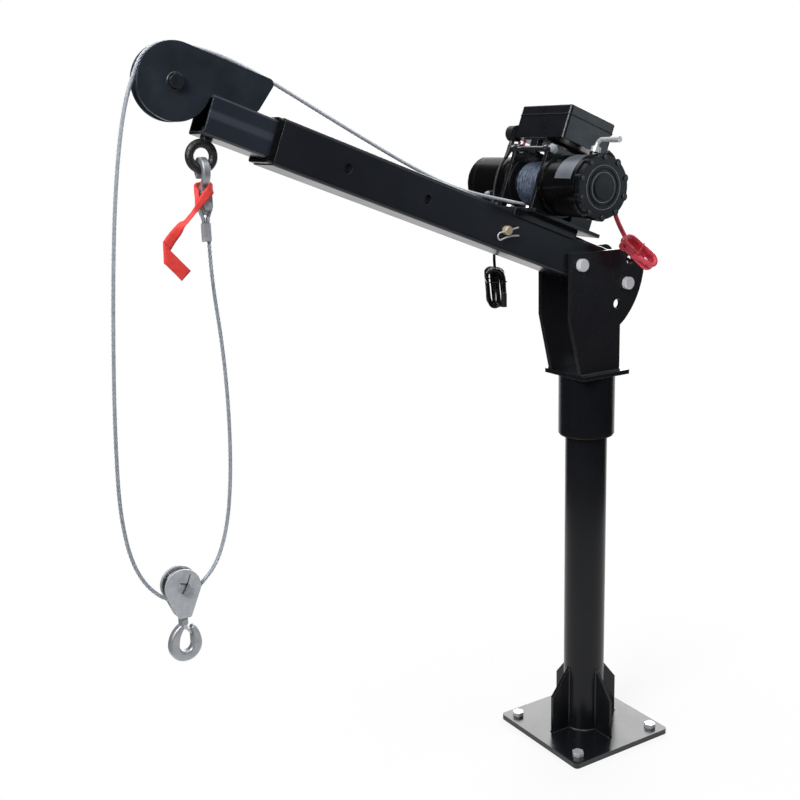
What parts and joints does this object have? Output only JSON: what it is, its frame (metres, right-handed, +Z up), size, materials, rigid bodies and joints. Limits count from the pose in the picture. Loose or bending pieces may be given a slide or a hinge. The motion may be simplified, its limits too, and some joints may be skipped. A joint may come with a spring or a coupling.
{
  "type": "pickup truck crane",
  "caption": "Swivel post crane with a tilting telescopic boom, electric winch, tip sheave, wire rope and swivel hook block on a bolt-down base plate.",
  "frame": {"origin": "centre of the base plate's underside, on the post's axis", "axes": "+Z up along the post; the boom points along -X at rest; the gearbox side faces -Y"},
  "size_m": [0.9942, 0.317, 1.3057],
  "materials": {
    "black_steel": "black powder coat, slightly glossy",
    "black_tube": "black powder coat with paler rounded corners",
    "zinc_bolt": "bright zinc plate",
    "gold_pin": "yellow-passivated zinc",
    "bush_bronze": "oiled bronze",
    "slide_plastic": "plain nylon",
    "sheave_steel": "worn machined steel",
    "galvanised": "dull galvanised steel",
    "cast_black": "rough black forging",
    "forged_steel": "forged steel",
    "chrome_bar": "polished",
    "cover_grey": "dark grey satin casting",
    "motor_black": "black, semi-gloss",
    "box_plastic": "dark grey moulded plastic",
    "black_plastic": "black moulded plastic",
    "grey_plastic": "grey moulded plastic",
    "wire_rope": "bluish galvanised strands",
    "red_cable": "red cable sheath",
    "black_cable": "black cable sheath",
    "copper_lug": "tinned copper",
    "red_web": "red woven webbing"
  },
  "bodies": {
    "base": {"base_plate": "black_steel", "base_bolts": "zinc_bolt", "base_gussets": "black_steel", "post_tube": "black_tube", "thrust_washer": "bush_bronze"},
    "head": {"sleeve_tube": "black_tube", "sleeve_bushes": "bush_bronze", "head_flange": "black_steel", "cheeks": "black_steel", "cheek_pins": "zinc_bolt", "pin_clips": "zinc_bolt"},
    "boom": {"outer_boom": "black_tube", "pivot_bush": "black_steel", "slide_pad": "slide_plastic", "extension_pin": "gold_pin", "winch_saddle": "black_steel", "winch_plate": "black_steel", "winch_bolts": "zinc_bolt", "drum_supports": "black_steel", "tie_bars": "chrome_bar", "gearbox_housing": "motor_black", "gearbox_cover": "cover_grey", "cover_screws": "zinc_bolt", "motor_can": "motor_black", "motor_cap": "motor_black", "motor_studs": "zinc_bolt", "control_box": "box_plastic", "control_lid": "box_plastic", "box_bracket": "black_steel", "lead_gland": "black_plastic", "power_lead": "red_cable", "power_coil": "red_cable", "power_terminal": "copper_lug", "remote_plugs": "grey_plastic", "remote_lead": "black_cable", "remote_hank": "black_cable", "cord_ties": "black_plastic", "motor_wires": "red_cable", "rope_run": "wire_rope"},
    "drum_body": {"drum": "black_steel", "rope_winding": "wire_rope"},
    "clutch": {"clutch_lever": "chrome_bar"},
    "clip": {"extension_clip": "zinc_bolt"},
    "jib": {"jib_tube": "black_tube", "sheave_plates": "black_steel", "sheave_axle": "black_steel", "eye_bolt": "cast_black", "rope_hook": "forged_steel", "clevis_pin": "zinc_bolt", "thimble": "galvanised", "rope_eye": "wire_rope", "ferrule": "galvanised", "rope_fall": "wire_rope", "pull_strap": "red_web"},
    "tip_wheel": {"tip_sheave": "sheave_steel"},
    "block_shaft": {"block_axle": "zinc_bolt"},
    "block_wheel": {"block_sheave": "sheave_steel"},
    "block": {"block_plates": "galvanised"},
    "load_hook_body": {"hook": "forged_steel"},
    "latch_body": {"hook_latch": "zinc_bolt"}
  },
  "joints": [
    {"name": "swivel", "type": "hinge", "parent": "base", "child": "head", "pos_m": [0, 0, 0.6], "axis": [0, 0, 1], "continuous": true},
    {"name": "tilt", "type": "hinge", "parent": "head", "child": "boom", "pos_m": [-0.054, 0, 0.9115], "axis": [0, 1, 0], "range_deg": [0, 21]},
    {"name": "drum_spin", "type": "hinge", "parent": "boom", "child": "drum_body", "pos_m": [-0.10011, 0, 1.0481], "axis": [0, -1, 0], "range_deg": [-900, 900]},
    {"name": "clutch_turn", "type": "hinge", "parent": "boom", "child": "clutch", "pos_m": [-0.07968, -0.105, 1.10131], "axis": [0.3584, 0, 0.9336], "range_deg": [0, 90]},
    {"name": "clip_pull", "type": "slide", "parent": "boom", "child": "clip", "axis": [-0.9877, 0, -0.1564], "range_m": [0, 0.05]},
    {"name": "jib_slide", "type": "slide", "parent": "boom", "child": "jib", "axis": [-0.9336, 0, 0.3584], "range_m": [0, 0.312], "deforming": ["rope_run"]},
    {"name": "tip_sheave_spin", "type": "hinge", "parent": "jib", "child": "tip_wheel", "pos_m": [-0.7527, 0, 1.22041], "axis": [0, 1, 0], "range_deg": [-620, 620]},
    {"name": "hoist", "type": "slide", "parent": "jib", "child": "block_shaft", "axis": [0, 0, 1], "range_m": [-0.29, 0.29], "deforming": ["rope_fall"]},
    {"name": "block_sheave_spin", "type": "hinge", "parent": "block_shaft", "child": "block_wheel", "pos_m": [-0.796, 0, 0.49], "axis": [0, 1, 0], "range_deg": [-645, 645]},
    {"name": "block_swing", "type": "hinge", "parent": "block_shaft", "child": "block", "pos_m": [-0.796, 0, 0.49], "axis": [0, 1, 0], "range_deg": [-30, 30]},
    {"name": "hook_swivel", "type": "hinge", "parent": "block", "child": "load_hook_body", "pos_m": [-0.796, 0, 0.44], "axis": [0, 0, 1], "continuous": true},
    {"name": "latch", "type": "hinge", "parent": "load_hook_body", "child": "latch_body", "pos_m": [-0.796, 0, 0.425], "axis": [0, 1, 0], "range_deg": [0, 40], "stiffness_Nm_per_rad": 0.05, "springref_deg": -17.19}
  ],
  "couplings": [
    {"joint": "hoist", "follows": "drum_spin", "m_per_rad": 0.018},
    {"joint": "tip_sheave_spin", "follows": "drum_spin", "ratio": 0.688},
    {"joint": "block_sheave_spin", "follows": "drum_spin", "ratio": 0.711}
  ]
}
